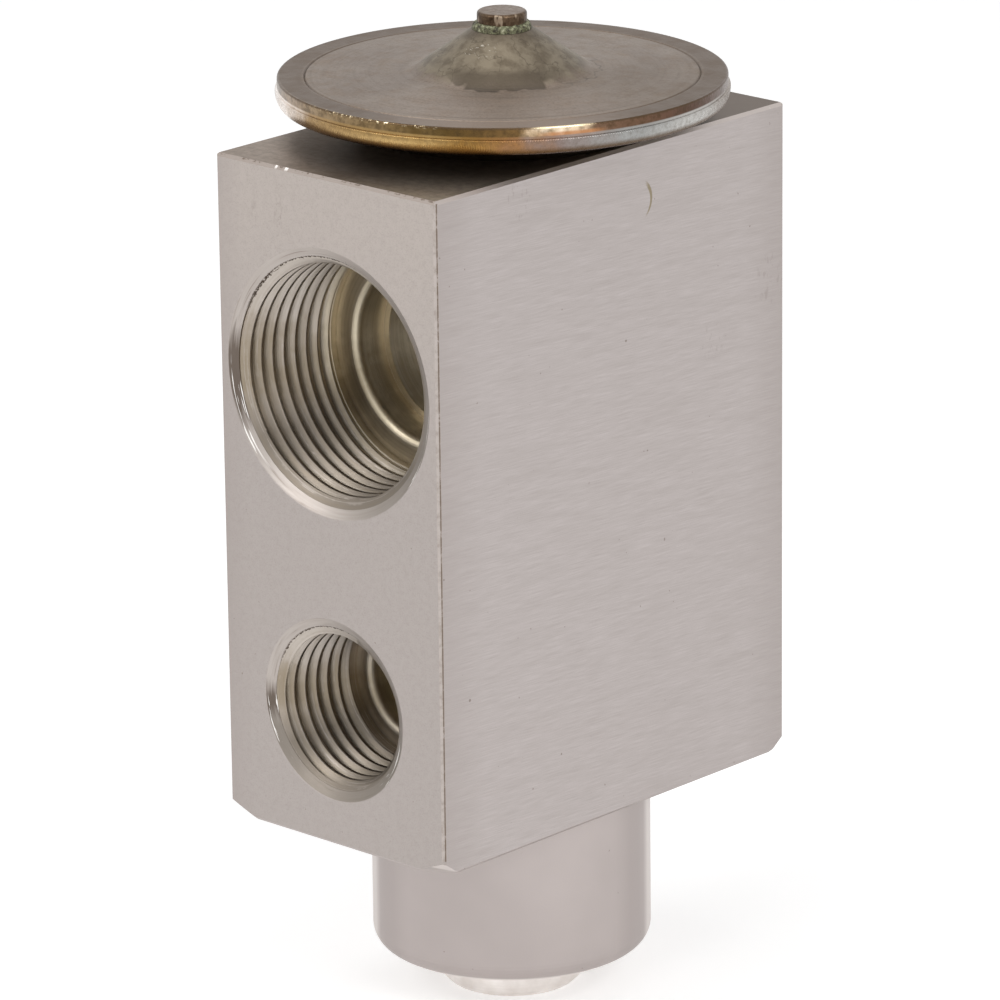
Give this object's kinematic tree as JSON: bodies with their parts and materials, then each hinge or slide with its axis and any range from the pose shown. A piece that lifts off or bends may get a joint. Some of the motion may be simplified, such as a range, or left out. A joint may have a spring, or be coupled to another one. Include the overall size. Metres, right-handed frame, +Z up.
{
  "type": "block expansion valve",
  "caption": "Thermostatic expansion valve in a rectangular metal block with threaded suction and liquid ports, a round diaphragm head on top and an adjusting screw in a boss underneath.",
  "frame": {"origin": "centre of the adjusting screw's lower face, on the valve's axis, which is the surface the part stands on", "axes": "+Z up along the valve's axis towards the diaphragm head, +Y along the ports from the condenser and compressor side to the evaporator side, +X across the block's narrow width"},
  "size_m": [0.0426, 0.0486, 0.0962],
  "materials": {
    "block_metal": "bare, fine drawn grain on the long sides",
    "head_steel": "dull pressed sheet, slightly stained",
    "weld_tint": "heat-tinted weld bead with fine ripples",
    "plain_steel": "turned, clean",
    "pin_bronze": "browned, dull",
    "solder": "rough, greenish",
    "seal_rubber": "black",
    "washer_brass": "turned",
    "screw_metal": "turned, bright chamfer"
  },
  "bodies": {
    "valve_body": {"valve_block": "block_metal", "head_upper_cover": "head_steel", "head_lower_cover": "head_steel", "head_neck": "plain_steel", "rim_weld": "weld_tint", "diaphragm": "plain_steel", "charge_pin": "pin_bronze", "pin_solder": "solder", "head_o_ring": "seal_rubber", "stem_o_ring": "seal_rubber", "seal_washer": "washer_brass", "retaining_clip": "plain_steel", "seat_insert": "plain_steel", "superheat_spring": "plain_steel"},
    "lift_train": {"diaphragm_plate": "plain_steel", "sensing_stem": "plain_steel", "push_pin": "plain_steel", "valve_ball": "plain_steel", "ball_carrier": "washer_brass", "damping_clip": "plain_steel"},
    "screw_seal": {"screw_o_ring": "seal_rubber"},
    "screw": {"adjusting_screw": "screw_metal"}
  },
  "joints": [
    {"name": "valve_lift", "type": "slide", "parent": "valve_body", "child": "lift_train", "axis": [0, 0, -1], "range_m": [0, 0.0006], "stiffness_N_per_m": 400, "springref_m": -0.001, "deforming": ["diaphragm", "superheat_spring"]},
    {"name": "screw_advance", "type": "slide", "parent": "valve_body", "child": "screw_seal", "axis": [0, 0, 1], "range_m": [-0.001, 0.001], "deforming": ["superheat_spring"]},
    {"name": "screw_turn", "type": "hinge", "parent": "screw_seal", "child": "screw", "pos_m": [0, 0, 0], "axis": [0, 0, 1], "range_deg": [-360, 360]}
  ],
  "couplings": [
    {"joint": "screw_turn", "follows": "screw_advance", "rad_per_m": 6283.2}
  ]
}
